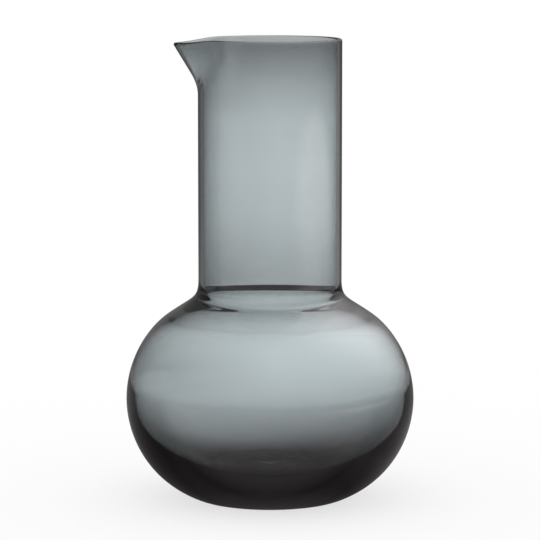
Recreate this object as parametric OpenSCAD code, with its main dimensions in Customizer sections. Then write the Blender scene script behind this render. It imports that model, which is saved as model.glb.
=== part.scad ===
// Water carafe in smoked glass, blown as one wall: round bulb, straight neck, pulled pouring lip.
// Millimetres. The origin is the middle of the standing face, +Z is up, and the lip points along -X.

/* [Neck] */
// Outer diameter of the straight neck
neck_d = 72.2; // [64:0.2:80]
// Wall of the neck and of its rim
neck_wall = 2.4; // [1.8:0.1:3]
// Height of the rim above the standing face
rim_z = 232.4; // [200:0.2:260]
// Height where the outside of the neck starts to spread into the shoulder
neck_foot_z = 111.8; // [109:0.2:116]
// Height where the bore starts to open into the bulb
bore_foot_z = 105.6; // [102:0.2:108]

/* [Bulb outside] */
// Diameter at the widest ring
bulb_d = 145.4; // [130:0.2:160]
// Height of the widest ring
waist_z = 50.8; // [46:0.2:56]
// Diameter where the dome passes into the shoulder
shoulder_d = 104.8; // [98:0.2:112]
// Height where the dome passes into the shoulder
shoulder_z = 92.8; // [88:0.2:97]
// Slope of the wall there, from the level
shoulder_slope = 35.4; // [28:0.2:42]
// Diameter where the bowl comes down to the standing face
foot_d = 72.4; // [64:0.2:84]
// Slope of the bowl there, from the level
foot_slope = 19.4; // [14:0.2:26]
// How softly the bowl turns into the standing face
foot_soft = 1.5; // [0.8:0.1:2.2]

/* [Bulb inside] */
// Wall at the widest ring
bulb_wall = 2.3; // [1.6:0.1:3]
// Height of the cavity's widest ring, above the outer one because the hot glass sinks
cavity_waist_z = 57; // [52:0.2:60]
// Wall where the dome passes into the shoulder
shoulder_wall = 2.6; // [2:0.1:3.6]
// Slope of the inner face there, from the level
bore_slope = 30; // [27:0.2:34]
// Thickness of the floor, from the standing face to the middle of the cavity
floor_t = 7.2; // [6:0.2:12]

/* [Hollow under the foot] */
// Radius of the ground hollow
hollow_r = 22; // [12:0.5:26]
// Depth of the hollow at its middle
hollow_depth = 2; // [1:0.1:3]

/* [Curves] */
// Straight run of the bowl where it leaves the foot, as a share of the bowl's width
bowl_low = 0.77; // [0.6:0.01:0.9]
// Straight run of the bowl below its widest ring, as a share of the bowl's height
bowl_high = 0.354; // [0.25:0.002:0.5]
// Straight run of the dome above the widest ring, as a share of the dome's height
dome_low = 0.465; // [0.35:0.005:0.6]
// Straight run of the dome before the shoulder, as a share of the dome's height
dome_high = 0.28; // [0.2:0.005:0.4]
// Straight run of the shoulder after the dome, as a share of the shoulder's width
neck_low = 0.99; // [0.8:0.01:1.1]
// Straight run of the shoulder below the neck, as a share of the shoulder's height
neck_high = 0.576; // [0.4:0.002:0.7]
// Straight run of the cavity from the middle of its floor, as a share of its widest radius
cavity_low = 0.775; // [0.65:0.005:0.85]
// Straight run of the cavity below its widest ring, as a share of its rise from the floor
cavity_high = 0.515; // [0.4:0.005:0.6]
// Straight run of the vault above the widest ring, as a share of the vault's rise
vault_low = 0.31; // [0.2:0.01:0.45]
// Straight run of the vault before the shoulder, as a share of the vault's rise
vault_high = 0.41; // [0.3:0.01:0.5]
// Straight run of the bore's mouth from the vault, as a share of its width
bore_low = 1.27; // [1.1:0.01:1.4]
// Straight run of the bore's mouth below the bore, as a share of its height
bore_high = 0.56; // [0.4:0.01:0.7]

/* [Pouring lip] */
// How far the tip of the lip stands out from the neck
lip_reach = 12; // [8:0.5:16]
// Lean of the underside of the lip from the vertical
lip_lean = 31.3; // [25:0.1:38]
// Radius of the nose of the lip, seen from above
nose_r = 7; // [5:0.5:9]
// Wall of the lip along its nose, square to its face
lip_wall = 1.9; // [1.5:0.1:2.3]
// How far the rim dips from its level round the neck to the tip of the lip
lip_dip = 2; // [0:0.1:4]
// Half of the angle round the neck over which the rim dips
dip_angle = 42; // [35:1:50]
// How softly the lip leaves the neck
lip_blend = 3.3; // [1.5:0.1:5]
// Depth of the pinch on each side of the lip, where its glass was drawn from
pinch_depth = 0.6; // [0:0.1:1]
// How far the bore swells in behind each pinch
bore_swell = 0.15; // [0:0.05:0.2]
// Angle round the neck from the tip of the lip to each pinch
pinch_at = 50; // [45:1:55]
// Half of the angle over which each pinch spreads
pinch_spread = 16; // [10:1:20]

/* [Hidden] */

smoked_glass = [0.42, 0.47, 0.48, 0.75];

neck_r = neck_d / 2;
bore_r = neck_r - neck_wall;
bulb_r = bulb_d / 2;
rim_r = neck_wall / 2;

// Steps along each curve of the outline, across the hollow and over the rim
curve_steps = 22;
hollow_steps = 8;
rim_steps = 8;
// Steps of the lip round the neck and up its wall
lip_steps_round = 56;
lip_steps_up = 12;

shoulder_r = shoulder_d / 2;
foot_r = foot_d / 2;
cavity_r = bulb_r - bulb_wall;

// Half the wall at the tip of the lip, and the depth below the rim where its lean would meet the neck
tip_half = lip_wall / 2;
lip_root = lip_dip + tip_half * (1 + sin(lip_lean))
    + (lip_reach - tip_half * (1 - cos(lip_lean))) / tan(lip_lean);
// Height where the lip starts to leave the neck, with a little plain wall below its blend
lip_z = rim_z - lip_root - lip_blend / tan(lip_lean) - 1;
// Half of the angle round the neck that the reworked wall takes up
lip_angle = pinch_at + pinch_spread + 2;
// The lip runs on into the plain wall below and beside it, a hair inside its faces
tongue = 1.5;
tongue_angle = 2;
hair = 0.04;

// The larger of two lengths, rounded off where they are within k of each other
function blend(a, b, k) = max(a, b) + pow(max(k - abs(a - b), 0), 2) / (4 * k);

function reversed(list) = [for (i = [len(list) - 1:-1:0]) list[i]];

// Points along a cubic curve from p to q, leaving at slope a for a pull of f and arriving at slope b
// for a pull of g, without its first point. Slopes are taken from the level, outwards.
function curve(p, a, f, q, b, g) = [
    for (i = [1:curve_steps])
        let (
            t = i / curve_steps,
            u = 1 - t,
            p1 = p + f * [cos(a), sin(a)],
            q1 = q - g * [cos(b), sin(b)]
        )
        u * u * u * p + 3 * u * u * t * p1 + 3 * u * t * t * q1 + t * t * t * q
];

// Radius of the ball that grinds the hollow
grind_r = (hollow_r * hollow_r + hollow_depth * hollow_depth) / (2 * hollow_depth);
hollow = [
    for (i = [0:hollow_steps])
        let (x = hollow_r * i / hollow_steps)
        [x, sqrt(grind_r * grind_r - x * x) - grind_r + hollow_depth]
];

// The bowl starts a little under the standing face, so that the edge of the foot comes out softened
foot_run = [for (t = [1, 0.75, 0.5, 0.25, 0]) [foot_r, 0] - foot_soft * t * [1 / tan(foot_slope), 1]];
waist = [bulb_r, waist_z];
bowl = curve([foot_r, 0], foot_slope, bowl_low * (bulb_r - foot_r), waist, 90, bowl_high * waist_z);
outer_bowl = [for (p = concat(foot_run, bowl)) [p[0], blend(p[1], 0, foot_soft)]];

shoulder = [shoulder_r, shoulder_z];
dome_rise = shoulder_z - waist_z;
dome = curve(waist, 90, dome_low * dome_rise, shoulder, 180 - shoulder_slope, dome_high * dome_rise);
outer_shoulder = curve(
    shoulder, 180 - shoulder_slope, neck_low * (shoulder_r - neck_r),
    [neck_r, neck_foot_z], 90, neck_high * (neck_foot_z - shoulder_z)
);

// The cavity: up from the middle of the floor to its widest ring, and on under the vault to the bore
cavity_waist = [cavity_r, cavity_waist_z];
cavity_rise = cavity_waist_z - floor_t;
cavity = curve([0, floor_t], 0, cavity_low * cavity_r, cavity_waist, 90, cavity_high * cavity_rise);
inner_shoulder = shoulder - shoulder_wall * [sin(shoulder_slope), cos(shoulder_slope)];
vault_rise = inner_shoulder[1] - cavity_waist_z;
vault = curve(
    cavity_waist, 90, vault_low * vault_rise, inner_shoulder, 180 - bore_slope, vault_high * vault_rise
);
bore_mouth = curve(
    inner_shoulder, 180 - bore_slope, bore_low * (inner_shoulder[0] - bore_r),
    [bore_r, bore_foot_z], 90, bore_high * (bore_foot_z - inner_shoulder[1])
);

rim = [
    for (i = [0:rim_steps])
        let (t = 180 * i / rim_steps)
        [neck_r - rim_r + rim_r * cos(t), rim_z - rim_r + rim_r * sin(t)]
];

outside = concat(hollow, outer_bowl, dome, outer_shoulder);
inside = concat([[0, floor_t]], cavity, vault, bore_mouth);

// How far the lip stands out at a height
function reach(z) = blend(0, (z - rim_z + lip_root) * tan(lip_lean), lip_blend);

// Level thickness that the nose gains over the neck wall at a height
function nose_gain(z) = (lip_wall / cos(lip_lean) - neck_wall) * min(1, reach(z) / lip_reach);

// Radius at angle a of a circle of radius r drawn out, along tangents, to a nose of radius n
function beak(r, out, n, a) =
    let (
        nose_x = r + out - n,
        touch = acos((r - n) / nose_x),
        nose_end = atan2(n * sin(touch), nose_x + n * cos(touch)),
        off = abs(a)
    )
    off >= touch ? r
    : off > nose_end ? r / cos(touch - off)
    : nose_x * cos(off) + sqrt(n * n - pow(nose_x * sin(off), 2));

// How far a face of the wall goes in beside the lip, for a pinch of a depth
function pinch(depth, a, z) =
    let (u = min(1, abs(abs(a) - pinch_at) / pinch_spread))
    depth * pow(1 - u * u, 2) * min(1, reach(z) / lip_reach);

function outer_r(a, z) = beak(neck_r, reach(z), nose_r, a) - pinch(pinch_depth, a, z);
function inner_r(a, z) =
    beak(bore_r, reach(z) - nose_gain(z), nose_r - lip_wall, a) - pinch(bore_swell, a, z);
function middle_r(a, z) = (outer_r(a, z) + inner_r(a, z)) / 2;

// Height of the rim at an angle from the tip of the lip
function rim_top(a) = rim_z - (abs(a) < dip_angle ? lip_dip * pow(cos(90 * a / dip_angle), 2) : 0);

// The wall cut at angle a: up the outside, over the rounded rim and down the inside, g inside its faces
function wall_section(a, g) =
    let (
        top = rim_top(a),
        z_test = top - rim_r,
        lean = atan(middle_r(a, z_test + 0.5) - middle_r(a, z_test - 0.5)),
        half = (outer_r(a, z_test) - inner_r(a, z_test)) / 2 * cos(lean),
        z_mid = top - half,
        r_mid = middle_r(a, z_mid),
        z_out = z_mid - half * sin(lean),
        z_in = z_mid + half * sin(lean),
        low = lip_z + hair
    )
    concat(
        [for (z = [lip_z - tongue, lip_z - hair]) [neck_r - hair - g, z]],
        [
            for (i = [0:lip_steps_up - 1])
                let (z = low + (z_out - low) * i / lip_steps_up)
                [outer_r(a, z) - g, z]
        ],
        [
            for (i = [0:rim_steps])
                let (t = 180 * i / rim_steps - lean)
                [r_mid + (half - g) * cos(t), z_mid + (half - g) * sin(t)]
        ],
        [
            for (i = [lip_steps_up - 1:-1:0])
                let (z = low + (z_in - low) * i / lip_steps_up)
                [inner_r(a, z) + g, z]
        ],
        [for (z = [lip_z - hair, lip_z - tongue]) [bore_r + hair + g, z]]
    );

// A section turned to its place round the neck, with the lip along -X
function placed(section, a) = [for (p = section) [-p[0] * cos(a), -p[0] * sin(a), p[1]]];

module blown_wall() {
    rotate_extrude($fn = 180)
        polygon(concat(outside, rim, reversed(inside)));
}

// The part of the neck that is reworked into the lip
module lip_gap() {
    far = 2 * neck_r;
    translate([0, 0, lip_z])
        linear_extrude(rim_z)
            polygon([[0, 0], [-far * cos(lip_angle), far * sin(lip_angle)], [-2 * far, 0],
                [-far * cos(lip_angle), -far * sin(lip_angle)]]);
}

module pulled_lip() {
    side = hair;
    angles = concat(
        [-lip_angle - tongue_angle, -lip_angle - side],
        [for (i = [0:lip_steps_round]) (lip_angle - side) * (2 * i / lip_steps_round - 1)],
        [lip_angle + side, lip_angle + tongue_angle]
    );
    sections = [
        for (a = angles) placed(wall_section(a, abs(a) > lip_angle ? hair : 0), a)
    ];
    n = len(sections[0]);
    count = len(sections);
    polyhedron(
        points = [for (s = sections) each s],
        faces = concat(
            [
                for (i = [0:count - 2]) for (j = [0:n - 1])
                    let (k = (j + 1) % n)
                    each [
                        [i * n + j, (i + 1) * n + k, (i + 1) * n + j],
                        [i * n + j, i * n + k, (i + 1) * n + k]
                    ]
            ],
            [[for (j = [n - 1:-1:0]) j]],
            [[for (j = [0:n - 1]) (count - 1) * n + j]]
        )
    );
}

module glass_body() {
    color(smoked_glass)
        union() {
            difference() {
                blown_wall();
                lip_gap();
            }
            pulled_lip();
        }
}

glass_body();
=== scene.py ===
import math

import bpy
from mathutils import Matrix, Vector


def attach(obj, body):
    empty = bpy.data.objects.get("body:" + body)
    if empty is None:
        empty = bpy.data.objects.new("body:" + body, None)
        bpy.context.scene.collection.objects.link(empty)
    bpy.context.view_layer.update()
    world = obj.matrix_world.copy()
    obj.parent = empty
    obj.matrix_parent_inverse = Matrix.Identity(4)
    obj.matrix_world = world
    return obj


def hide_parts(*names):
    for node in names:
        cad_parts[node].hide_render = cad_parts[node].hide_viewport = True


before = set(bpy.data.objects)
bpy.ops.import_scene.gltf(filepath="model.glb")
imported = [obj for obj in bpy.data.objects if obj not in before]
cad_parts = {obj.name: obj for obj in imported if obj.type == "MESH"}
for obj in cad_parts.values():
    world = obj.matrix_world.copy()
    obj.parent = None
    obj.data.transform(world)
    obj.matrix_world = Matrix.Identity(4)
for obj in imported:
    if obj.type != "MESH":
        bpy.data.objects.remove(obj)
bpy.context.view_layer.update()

# Camera
# A long lens a little above the rim, tilted down at the middle of the glass.
CAMERA_DISTANCE = 1.4165
CAMERA_HEIGHT = 0.3004
CAMERA_TILT = math.radians(7.42)
SENSOR = 36.0
LENS = 188.9
CLIP_START = 0.05
CLIP_END = 60

camera_data = bpy.data.cameras.new("camera")
camera_data.sensor_width = SENSOR
camera_data.lens = LENS
camera_data.clip_start = CLIP_START
camera_data.clip_end = CLIP_END
camera = bpy.data.objects.new("camera", camera_data)
camera.location = (0, -CAMERA_DISTANCE, CAMERA_HEIGHT)
camera.rotation_euler = (math.pi / 2 - CAMERA_TILT, 0, 0)
bpy.context.collection.objects.link(camera)
bpy.context.scene.camera = camera
bpy.context.scene.view_settings.view_transform = "Standard"

# Room
# Glass is photographed against a white sweep. Seen through the glass, the white is dimmer towards the left,
# falls off far to both sides and is white again where the glass is seen from behind. Mirrored in the glass
# is the dim studio, with a broad soft light high on the right. Angles are from straight behind the glass.
STUDIO = 0.17
STUDIO_TINT = (1.03, 0.99, 1.0, 1)
SWEEP_LEFT = 0.56
SWEEP_LEFT_TURN = (-0.22, 0.01)
SWEEP_LEFT_END = (-0.55, -0.25)
SWEEP_FAR = 0.35
SWEEP_FAR_TURN = (0.3, 0.9)
SWEEP_ROUND = (1.1, 1.5)
SOFT_LIGHT = 2.1
SOFT_LIGHT_FROM = Vector((0.48, 0.48, 0.73)).normalized()
SOFT_LIGHT_FALLOFF = 6.5


def map_range(nodes, links, value, low, high, to_low, to_high, smooth=False):
    """A node that carries one range of values over to another."""
    node = nodes.new("ShaderNodeMapRange")
    node.interpolation_type = "SMOOTHSTEP" if smooth else "LINEAR"
    node.inputs["From Min"].default_value = low
    node.inputs["From Max"].default_value = high
    node.inputs["To Min"].default_value = to_low
    node.inputs["To Max"].default_value = to_high
    links.new(value, node.inputs["Value"])
    return node.outputs["Result"]


def math_node(nodes, links, operation, a, b=None, c=None):
    """A sum on values, each either a number or the output of a node."""
    node = nodes.new("ShaderNodeMath")
    node.operation = operation
    for socket, value in zip(node.inputs, (a, b, c)):
        if value is None:
            continue
        if isinstance(value, (int, float)):
            socket.default_value = value
        else:
            links.new(value, socket)
    return node.outputs["Value"]


def angle_behind(nodes, links, vector):
    """Angle to the side of straight behind the glass, to the right positive."""
    side = nodes.new("ShaderNodeSeparateXYZ")
    links.new(vector, side.inputs["Vector"])
    return math_node(nodes, links, "ARCTAN2", side.outputs["X"], side.outputs["Y"])


def sweep(nodes, links, angle):
    """Brightness of the white sweep by the angle behind the glass; on the table it is painted shade."""
    off = math_node(nodes, links, "ABSOLUTE", angle)
    left = map_range(nodes, links, angle, *SWEEP_LEFT_TURN, SWEEP_LEFT, 1.0)
    far = map_range(nodes, links, off, *SWEEP_FAR_TURN, 1.0, SWEEP_FAR)
    back = math_node(nodes, links, "MULTIPLY", left, far)
    end = map_range(nodes, links, angle, *SWEEP_LEFT_END, SWEEP_LEFT, 1.0)
    back = math_node(nodes, links, "MULTIPLY", back, end)
    all_round = map_range(nodes, links, off, *SWEEP_ROUND, 0.0, 1.0)
    missing = math_node(nodes, links, "SUBTRACT", 1.0, back)
    return math_node(nodes, links, "MULTIPLY_ADD", all_round, missing, back)


def only_mirrored(nodes, links, ray, otherwise, mirrored):
    """A shader that differs for what is mirrored in the glass."""
    mix = nodes.new("ShaderNodeMixShader")
    links.new(math_node(nodes, links, "GREATER_THAN", ray.outputs["Glossy Depth"], 0.5), mix.inputs["Fac"])
    links.new(otherwise, mix.inputs[1])
    links.new(mirrored, mix.inputs[2])
    return mix.outputs["Shader"]


world = bpy.data.worlds.new("studio")
bpy.context.scene.world = world
world.use_nodes = True
nodes, links = world.node_tree.nodes, world.node_tree.links
nodes.clear()
ray = nodes.new("ShaderNodeLightPath")
place = nodes.new("ShaderNodeTexCoord")
through = nodes.new("ShaderNodeMix")
through.data_type = "FLOAT"
through.inputs["A"].default_value = 1.0
links.new(ray.outputs["Is Transmission Ray"], through.inputs["Factor"])
links.new(sweep(nodes, links, angle_behind(nodes, links, place.outputs["Generated"])), through.inputs["B"])
white = nodes.new("ShaderNodeBackground")
white.inputs["Color"].default_value = (1, 1, 1, 1)
links.new(through.outputs["Result"], white.inputs["Strength"])
toward = nodes.new("ShaderNodeVectorMath")
toward.operation = "DOT_PRODUCT"
toward.inputs[1].default_value = SOFT_LIGHT_FROM
links.new(place.outputs["Generated"], toward.inputs[0])
facing = math_node(nodes, links, "MAXIMUM", toward.outputs["Value"], 0.0)
lobe = math_node(nodes, links, "POWER", facing, SOFT_LIGHT_FALLOFF)
glow = math_node(nodes, links, "MULTIPLY_ADD", lobe, SOFT_LIGHT, STUDIO)
dim = nodes.new("ShaderNodeBackground")
dim.inputs["Color"].default_value = STUDIO_TINT
links.new(glow, dim.inputs["Strength"])
seen = only_mirrored(nodes, links, ray, white.outputs["Background"], dim.outputs["Background"])
world_output = nodes.new("ShaderNodeOutputWorld")
links.new(seen, world_output.inputs["Surface"])

# Floor
# A plain white table top. To the camera it is white with the soft shadow of the glass. Through the glass its
# colour carries painted shade: white close by, darker beside the glass, and the sweep's shading further off.
# Mirrored in the glass it glows with painted light: warm and bright in front, a painted shadow under the
# foot, painted shade behind, and a painted lit patch far on the right.
FLOOR_SIZE = 30.0
SHADOW_SHARE = 0.3
SWEEP_FROM = (0.15, 0.4)
# Painted shade on the table beside the glass, as seen through it.
PAINTED_SHADE_BESIDE = 0.4
BESIDE_TURN = (0.05, 1.0)

# Painted light on the table, seen only mirrored in the glass: a warm bright glow in front, a painted shadow
# under the foot, and painted shade behind that fades further off.
PAINTED_LIGHT_TINT = (1.12, 0.98, 1.0, 1)
TINT_DEPTH = (-0.06, 0.1)
PAINTED_LIGHT_IN_FRONT = 0.42
PAINTED_SHADOW_UNDER = 0.12
UNDER_DEPTH = (-0.068, -0.052)
UNDER_SHARE = 0.5
DEEPER_DEPTH = (-0.045, -0.03)
PAINTED_SHADE_BEHIND = 0.12
BEHIND_DEPTH = (0.0, 0.2)
BEYOND_SHARE = 0.4
BEYOND_DEPTH = (0.5, 1.2)
# Painted light on the table beside the foot, seen mirrored in the glass.
PAINTED_LIGHT_LEFT = 0.03
LEFT_PLACE = (-0.09, -0.04)
PAINTED_LIGHT_RIGHT = 0.12
RIGHT_PLACE = (0.045, 0.08)
CLOSE_REACH = (0.15, 0.3)

# What is mirrored within the wall of the glass leaves it to the back and meets the sweep beside the glass;
# the table there carries painted light in its place, brighter to the right.
PAINTED_LIGHT_INSIDE_LEFT = 0.15
PAINTED_LIGHT_INSIDE_RIGHT = 0.34
INSIDE_TURN = (-0.1, 0.1)
INSIDE_DEPTH = (0.0, 0.15)
INSIDE_OFF = (0.3, 0.5)

# A painted lit patch on the table far on the right, seen mirrored in the glass.
PATCH_AT = (1.7, -0.4, 0)
PATCH_FULL = 0.6
PATCH_END = 1.3
PAINTED_PATCH_LIGHT = 0.9

bpy.ops.object.select_all(action="DESELECT")
bpy.ops.mesh.primitive_plane_add(size=FLOOR_SIZE)
floor = bpy.context.object
floor.name = "floor"
floor_material = bpy.data.materials.new("white_table")
floor_material.use_nodes = True
nodes, links = floor_material.node_tree.nodes, floor_material.node_tree.links
nodes.clear()
ray = nodes.new("ShaderNodeLightPath")
place = nodes.new("ShaderNodeTexCoord")
paint = nodes.new("ShaderNodeBsdfDiffuse")
paint.inputs["Color"].default_value = (1, 1, 1, 1)
lit = nodes.new("ShaderNodeEmission")
to_camera = nodes.new("ShaderNodeMixShader")
to_camera.inputs["Fac"].default_value = SHADOW_SHARE
links.new(lit.outputs["Emission"], to_camera.inputs[1])
links.new(paint.outputs["BSDF"], to_camera.inputs[2])
from_glass = nodes.new("ShaderNodeVectorMath")
from_glass.operation = "LENGTH"
links.new(place.outputs["Object"], from_glass.inputs[0])
away = map_range(nodes, links, from_glass.outputs["Value"], *SWEEP_FROM, 0.0, 1.0, smooth=True)
# The table's colour through the glass carries painted shade: darker beside the glass, the sweep's shading
# further off.
tone = nodes.new("ShaderNodeMix")
tone.data_type = "FLOAT"
angle = angle_behind(nodes, links, place.outputs["Object"])
off = math_node(nodes, links, "ABSOLUTE", angle)
links.new(map_range(nodes, links, off, *BESIDE_TURN, 1.0, PAINTED_SHADE_BESIDE, smooth=True), tone.inputs["A"])
links.new(away, tone.inputs["Factor"])
links.new(sweep(nodes, links, angle), tone.inputs["B"])
shaded = nodes.new("ShaderNodeBsdfDiffuse")
links.new(tone.outputs["Result"], shaded.inputs["Color"])
direct = nodes.new("ShaderNodeMixShader")
links.new(ray.outputs["Is Camera Ray"], direct.inputs["Fac"])
links.new(shaded.outputs["BSDF"], direct.inputs[1])
links.new(to_camera.outputs["Shader"], direct.inputs[2])
to_patch = nodes.new("ShaderNodeVectorMath")
to_patch.operation = "DISTANCE"
to_patch.inputs[1].default_value = PATCH_AT
links.new(place.outputs["Object"], to_patch.inputs[0])
spot = nodes.new("ShaderNodeSeparateXYZ")
links.new(place.outputs["Object"], spot.inputs["Vector"])
# Painted light and shade on the table for what the glass mirrors: bright in front, a painted shadow under
# the foot, painted shade behind.
front = map_range(nodes, links, spot.outputs["Y"], *UNDER_DEPTH, PAINTED_LIGHT_IN_FRONT, PAINTED_SHADOW_UNDER)
deeper = map_range(nodes, links, spot.outputs["Y"], *DEEPER_DEPTH, 1.0, UNDER_SHARE)
front = math_node(nodes, links, "MULTIPLY", front, deeper)
behind = map_range(nodes, links, spot.outputs["Y"], *BEHIND_DEPTH, 0.0, PAINTED_SHADE_BEHIND)
beyond = map_range(nodes, links, spot.outputs["Y"], *BEYOND_DEPTH, 1.0, BEYOND_SHARE)
behind = math_node(nodes, links, "MULTIPLY", behind, beyond)
# Painted light where what the wall mirrors meets the table, brighter to the right.
inside = math_node(nodes, links, "GREATER_THAN", ray.outputs["Transmission Depth"], 0.5)
to_side = map_range(nodes, links, angle, *INSIDE_TURN, PAINTED_LIGHT_INSIDE_LEFT, PAINTED_LIGHT_INSIDE_RIGHT)
to_back = map_range(nodes, links, spot.outputs["Y"], *INSIDE_DEPTH, 0.0, 1.0)
off_middle = map_range(nodes, links, off, *INSIDE_OFF, 0.0, 1.0)
edge = math_node(nodes, links, "MULTIPLY", inside, to_side)
edge = math_node(nodes, links, "MULTIPLY", edge, off_middle)
behind = math_node(nodes, links, "MULTIPLY_ADD", edge, to_back, behind)
# Painted light on the table beside the foot.
on_left = map_range(nodes, links, spot.outputs["X"], *LEFT_PLACE, PAINTED_LIGHT_LEFT, 0.0)
on_right = map_range(nodes, links, spot.outputs["X"], *RIGHT_PLACE, 0.0, PAINTED_LIGHT_RIGHT)
close = map_range(nodes, links, from_glass.outputs["Value"], *CLOSE_REACH, 1.0, 0.0)
beside = math_node(nodes, links, "ADD", on_left, on_right)
beside = math_node(nodes, links, "MULTIPLY", beside, close)
# A painted lit patch far on the right.
patch = map_range(
    nodes, links, to_patch.outputs["Value"], PATCH_FULL, PATCH_END, PAINTED_PATCH_LIGHT, 0.0, smooth=True
)
table = math_node(nodes, links, "ADD", front, behind)
table = math_node(nodes, links, "ADD", table, patch)
table = math_node(nodes, links, "ADD", table, beside)
# The table's painted light glows in a warm tint in front and in the studio's tint behind.
dim = nodes.new("ShaderNodeEmission")
warm = map_range(nodes, links, spot.outputs["Y"], *TINT_DEPTH, 1.0, 0.0)
tint = nodes.new("ShaderNodeMix")
tint.data_type = "RGBA"
tint.inputs["A"].default_value = STUDIO_TINT
tint.inputs["B"].default_value = PAINTED_LIGHT_TINT
links.new(warm, tint.inputs["Factor"])
links.new(tint.outputs["Result"], dim.inputs["Color"])
links.new(table, dim.inputs["Strength"])
seen = only_mirrored(nodes, links, ray, direct.outputs["Shader"], dim.outputs["Emission"])
out = nodes.new("ShaderNodeOutputMaterial")
links.new(seen, out.inputs["Surface"])
floor.data.materials.append(floor_material)

# Glass body
# The whole carafe is one wall of smoked soda-lime glass, blown into a round bulb, drawn up into a straight
# neck and left thick at the floor. The rim is fire-polished and the lip is pulled out of it while hot.
NECK_R = 0.0361
NECK_WALL = 0.0024
RIM_Z = 0.2324
NECK_FOOT_Z = 0.1118

BULB_R = 0.0727
WAIST_Z = 0.0508
SHOULDER_R = 0.0524
SHOULDER_Z = 0.0928
SHOULDER_SLOPE = math.radians(35.4)
FOOT_R = 0.0362
FOOT_SLOPE = math.radians(19.4)
FOOT_SOFT = 0.0015

BULB_WALL = 0.0023
CAVITY_WAIST_Z = 0.057
SHOULDER_WALL = 0.0026
BORE_SLOPE = math.radians(30)
BORE_FOOT_Z = 0.1056
FLOOR_T = 0.0072
HOLLOW_R = 0.022
HOLLOW_DEPTH = 0.002

# How far each curve runs on straight before it turns, as a share of its height or of its width.
BOWL_LOW = 0.77
BOWL_HIGH = 0.354
DOME_LOW = 0.465
DOME_HIGH = 0.28
SHOULDER_LOW = 0.99
SHOULDER_HIGH = 0.576
CAVITY_LOW = 0.775
CAVITY_HIGH = 0.515
VAULT_LOW = 0.31
VAULT_HIGH = 0.41
BORE_LOW = 1.27
BORE_HIGH = 0.56

LIP_REACH = 0.012
LIP_LEAN = math.radians(31.3)
NOSE_R = 0.007
LIP_WALL = 0.0019
LIP_DIP = 0.002
DIP_ANGLE = math.radians(42)
LIP_BLEND = 0.0033
LIP_ROOM = 0.001
PINCH_DEPTH = 0.0006
BORE_SWELL = 0.00015
PINCH_AT = math.radians(50)
PINCH_SPREAD = math.radians(16)

BORE_R = NECK_R - NECK_WALL
RIM_R = NECK_WALL / 2
TIP_HALF = LIP_WALL / 2
LIP_ROOT = (
    LIP_DIP
    + TIP_HALF * (1 + math.sin(LIP_LEAN))
    + (LIP_REACH - TIP_HALF * (1 - math.cos(LIP_LEAN))) / math.tan(LIP_LEAN)
)
LIP_Z = RIM_Z - LIP_ROOT - LIP_BLEND / math.tan(LIP_LEAN) - LIP_ROOM

HOLLOW_STEPS = 10
CURVE_STEPS = 40
WALL_STEPS = 26
RIM_STEPS = 14
TURN_STEPS = 240
START_SIZE = 0.001
LEAN_STEP = 0.0005
SAME_PLACE = 1e-6
SAME_R = 1e-5
SAME_EDGE = 1e-7


def blend(a, b, k):
    """The larger of two lengths, rounded off where they are within k of each other."""
    return max(a, b) + max(k - abs(a - b), 0) ** 2 / (4 * k)


def curve(start, start_way, start_pull, end, end_way, end_pull):
    """Points along a cubic curve that leaves one point and arrives at another in given directions."""
    p0, p3 = Vector(start), Vector(end)
    p1 = p0 + start_pull * Vector(start_way)
    p2 = p3 - end_pull * Vector(end_way)
    points = []
    for i in range(CURVE_STEPS + 1):
        t = i / CURVE_STEPS
        u = 1 - t
        points.append(tuple(u**3 * p0 + 3 * u * u * t * p1 + 3 * u * t * t * p2 + t**3 * p3))
    return points


def straight(r, low, high):
    """Points up a plain wall between two heights, without its ends."""
    return [(r, low + (high - low) * i / WALL_STEPS) for i in range(1, WALL_STEPS)]


UP = (0, 1)
ACROSS = (1, 0)
slope_way = (-math.cos(SHOULDER_SLOPE), math.sin(SHOULDER_SLOPE))
foot_way = (math.cos(FOOT_SLOPE), math.sin(FOOT_SLOPE))
waist = (BULB_R, WAIST_Z)
shoulder = (SHOULDER_R, SHOULDER_Z)
dome_h = SHOULDER_Z - WAIST_Z

grind_r = (HOLLOW_R**2 + HOLLOW_DEPTH**2) / (2 * HOLLOW_DEPTH)
hollow = [
    (x, math.sqrt(grind_r**2 - x**2) - grind_r + HOLLOW_DEPTH)
    for x in (HOLLOW_R * i / HOLLOW_STEPS for i in range(HOLLOW_STEPS + 1))
]
# The bowl runs on under the standing face, so that the edge of the foot comes out softened.
foot_run = [
    (FOOT_R - FOOT_SOFT * t / math.tan(FOOT_SLOPE), -FOOT_SOFT * t) for t in (1, 0.75, 0.5, 0.25)
]
bowl = curve(
    (FOOT_R, 0), foot_way, BOWL_LOW * (BULB_R - FOOT_R), waist, UP, BOWL_HIGH * WAIST_Z
)
outer_bowl = [(r, blend(z, 0, FOOT_SOFT)) for r, z in foot_run + bowl]
outer_dome = curve(waist, UP, DOME_LOW * dome_h, shoulder, slope_way, DOME_HIGH * dome_h)
outer_shoulder = curve(
    shoulder, slope_way, SHOULDER_LOW * (SHOULDER_R - NECK_R),
    (NECK_R, NECK_FOOT_Z), UP, SHOULDER_HIGH * (NECK_FOOT_Z - SHOULDER_Z),
)

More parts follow.
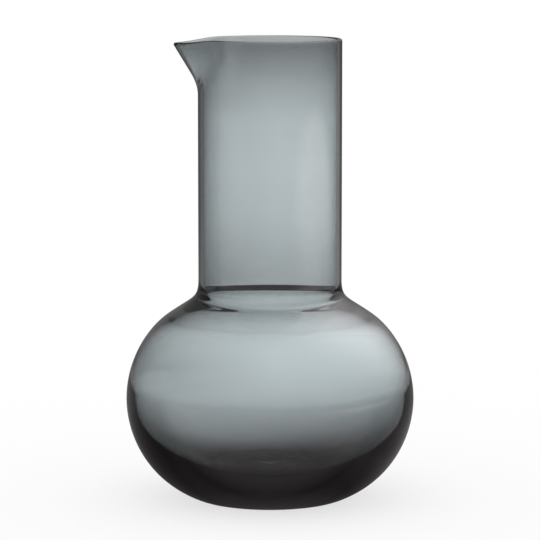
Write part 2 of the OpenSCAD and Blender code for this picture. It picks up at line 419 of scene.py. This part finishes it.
# The cavity is widest above the outer widest ring, as the hot glass sinks, and its vault turns into the
# bore lower and more sharply than the outside turns into the neck.
bore_way = (-math.cos(BORE_SLOPE), math.sin(BORE_SLOPE))
inner_shoulder = (
    SHOULDER_R - SHOULDER_WALL * math.sin(SHOULDER_SLOPE),
    SHOULDER_Z - SHOULDER_WALL * math.cos(SHOULDER_SLOPE),
)
cavity_r = BULB_R - BULB_WALL
cavity_h = CAVITY_WAIST_Z - FLOOR_T
vault_h = inner_shoulder[1] - CAVITY_WAIST_Z
cavity = curve(
    (0, FLOOR_T), ACROSS, CAVITY_LOW * cavity_r,
    (cavity_r, CAVITY_WAIST_Z), UP, CAVITY_HIGH * cavity_h,
)
vault = curve(
    (cavity_r, CAVITY_WAIST_Z), UP, VAULT_LOW * vault_h, inner_shoulder, bore_way, VAULT_HIGH * vault_h
)
bore_mouth = curve(
    inner_shoulder, bore_way, BORE_LOW * (inner_shoulder[0] - BORE_R),
    (BORE_R, BORE_FOOT_Z), UP, BORE_HIGH * (BORE_FOOT_Z - inner_shoulder[1]),
)
rim = [
    (NECK_R - RIM_R + RIM_R * math.cos(t), RIM_Z - RIM_R + RIM_R * math.sin(t))
    for t in (math.pi * i / RIM_STEPS for i in range(RIM_STEPS + 1))
]
outline = (
    hollow
    + outer_bowl
    + outer_dome[1:]
    + outer_shoulder[1:]
    + straight(NECK_R, NECK_FOOT_Z, LIP_Z)
    + [(NECK_R, LIP_Z)]
    + straight(NECK_R, LIP_Z, RIM_Z - RIM_R)
    + rim
    + straight(BORE_R, LIP_Z, RIM_Z - RIM_R)[::-1]
    + [(BORE_R, LIP_Z)]
    + straight(BORE_R, BORE_FOOT_Z, LIP_Z)[::-1]
    + bore_mouth[::-1]
    + vault[-2::-1]
    + cavity[-2::-1]
)

# The outline is drawn from one point, moved on and extruded, and then spun once round the axis.
bpy.ops.object.select_all(action="DESELECT")
bpy.ops.mesh.primitive_plane_add(size=START_SIZE)
glass = bpy.context.object
glass.name = "carafe_glass"
bpy.ops.object.mode_set(mode="EDIT")
bpy.ops.mesh.select_all(action="SELECT")
bpy.ops.mesh.merge(type="CENTER")
bpy.ops.transform.translate(value=(outline[0][0], 0, outline[0][1]))
for (r0, z0), (r1, z1) in zip(outline, outline[1:]):
    bpy.ops.mesh.extrude_region_move(TRANSFORM_OT_translate={"value": (r1 - r0, 0, z1 - z0)})
bpy.ops.mesh.select_all(action="SELECT")
bpy.ops.mesh.spin(steps=TURN_STEPS, angle=2 * math.pi, center=(0, 0, 0), axis=(0, 0, 1))
bpy.ops.mesh.select_all(action="SELECT")
bpy.ops.mesh.remove_doubles(threshold=SAME_PLACE)
bpy.ops.mesh.normals_make_consistent(inside=False)
bpy.ops.object.mode_set(mode="OBJECT")


def reach(z):
    """How far the lip stands out at a height."""
    return blend(0, (z - RIM_Z + LIP_ROOT) * math.tan(LIP_LEAN), LIP_BLEND)


def nose_gain(z):
    """Level thickness that the nose gains over the neck wall at a height."""
    return (LIP_WALL / math.cos(LIP_LEAN) - NECK_WALL) * min(1, reach(z) / LIP_REACH)


def beak(r, out, n, a):
    """Radius at angle a of a circle of radius r drawn out, along tangents, to a nose of radius n."""
    nose_x = r + out - n
    touch = math.acos(min(1, (r - n) / nose_x))
    nose_end = math.atan2(n * math.sin(touch), nose_x + n * math.cos(touch))
    off = abs(a)
    if off >= touch:
        return r
    if off > nose_end:
        return r / math.cos(touch - off)
    return nose_x * math.cos(off) + math.sqrt(n**2 - (nose_x * math.sin(off)) ** 2)


def pinch(depth, a, z):
    """How far a face of the wall goes in beside the lip, for a pinch of a depth."""
    u = min(1, abs(abs(a) - PINCH_AT) / PINCH_SPREAD)
    return depth * (1 - u * u) ** 2 * min(1, reach(z) / LIP_REACH)


def outer_r(a, z):
    return beak(NECK_R, reach(z), NOSE_R, a) - pinch(PINCH_DEPTH, a, z)


def inner_r(a, z):
    return beak(BORE_R, reach(z) - nose_gain(z), NOSE_R - LIP_WALL, a) - pinch(BORE_SWELL, a, z)


def middle_r(a, z):
    return (outer_r(a, z) + inner_r(a, z)) / 2


def rim_end(a):
    """Height and radius of the middle of the rounded rim at an angle, with its half thickness and lean."""
    top = RIM_Z
    if abs(a) < DIP_ANGLE:
        top -= LIP_DIP * math.cos(math.pi / 2 * a / DIP_ANGLE) ** 2
    z = top - RIM_R
    lean = math.atan((middle_r(a, z + LEAN_STEP) - middle_r(a, z - LEAN_STEP)) / (2 * LEAN_STEP))
    half = (outer_r(a, z) - inner_r(a, z)) / 2 * math.cos(lean)
    return top - half, middle_r(a, top - half), half, lean


# The lip is pulled out of the hot rim: each point of the top of the neck moves to its place on the lip.
for vertex in glass.data.vertices:
    x, y, z = vertex.co
    r = math.hypot(x, y)
    if z < LIP_Z + SAME_PLACE or r < BORE_R - SAME_R or r > NECK_R + SAME_R:
        continue
    a = math.atan2(y, -x)
    z_mid, r_mid, half, lean = rim_end(a)
    if z > RIM_Z - RIM_R + SAME_EDGE:
        t = math.atan2(z - RIM_Z + RIM_R, r - NECK_R + RIM_R) - lean
        new_r, new_z = r_mid + half * math.cos(t), z_mid + half * math.sin(t)
    else:
        outside = r > NECK_R - RIM_R
        end = z_mid - half * math.sin(lean) if outside else z_mid + half * math.sin(lean)
        new_z = LIP_Z + (z - LIP_Z) * (end - LIP_Z) / (RIM_Z - RIM_R - LIP_Z)
        new_r = outer_r(a, new_z) if outside else inner_r(a, new_z)
    vertex.co = (-new_r * math.cos(a), new_r * math.sin(a), new_z)

bpy.ops.object.shade_smooth()

# Smoked glass: clear and blue-grey in a thin wall, near black where the floor is thick. The tint is that of
# one passage through the wall, by height: darker at the foot of the neck and towards the rim.
HUE = (0.925, 0.99, 1.0)
TINT = (
    (0.0, 1.0), (0.03, 0.985), (0.045, 0.965), (0.06, 0.955), (0.078, 0.965), (0.088, 1.0), (0.101, 1.0),
    (0.108, 0.79), (0.119, 0.81), (0.131, 0.87), (0.143, 0.925), (0.1675, 0.96), (0.192, 0.93),
    (0.21, 0.795), (0.222, 0.645), (0.229, 0.545),
)
GLASS_IOR = 1.5
SMOKE_COLOUR = (0.28, 0.28, 0.29, 1)
SMOKE_DENSITY = 140

smoked = bpy.data.materials.new("smoked_glass")
smoked.use_nodes = True
nodes, links = smoked.node_tree.nodes, smoked.node_tree.links
shell = nodes["Principled BSDF"]
place = nodes.new("ShaderNodeTexCoord")
up = nodes.new("ShaderNodeSeparateXYZ")
links.new(place.outputs["Object"], up.inputs["Vector"])
tint = nodes.new("ShaderNodeValToRGB")
links.new(math_node(nodes, links, "DIVIDE", up.outputs["Z"], RIM_Z), tint.inputs["Fac"])
tint.color_ramp.interpolation = "LINEAR"
stops = tint.color_ramp.elements
stops[0].position = TINT[0][0] / RIM_Z
stops[1].position = TINT[-1][0] / RIM_Z
for z, tone in TINT[1:-1]:
    stops.new(z / RIM_Z)
for stop, (z, tone) in zip(stops, TINT):
    stop.color = tuple(part * tone for part in HUE) + (1,)
links.new(tint.outputs["Color"], shell.inputs["Base Color"])
shell.inputs["Roughness"].default_value = 0.0
shell.inputs["IOR"].default_value = GLASS_IOR
shell.inputs["Transmission Weight"].default_value = 1.0
smoke = nodes.new("ShaderNodeVolumeAbsorption")
smoke.inputs["Color"].default_value = SMOKE_COLOUR
smoke.inputs["Density"].default_value = SMOKE_DENSITY
links.new(smoke.outputs["Volume"], nodes["Material Output"].inputs["Volume"])
glass.data.materials.append(smoked)

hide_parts("glass_body")
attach(glass, "root")
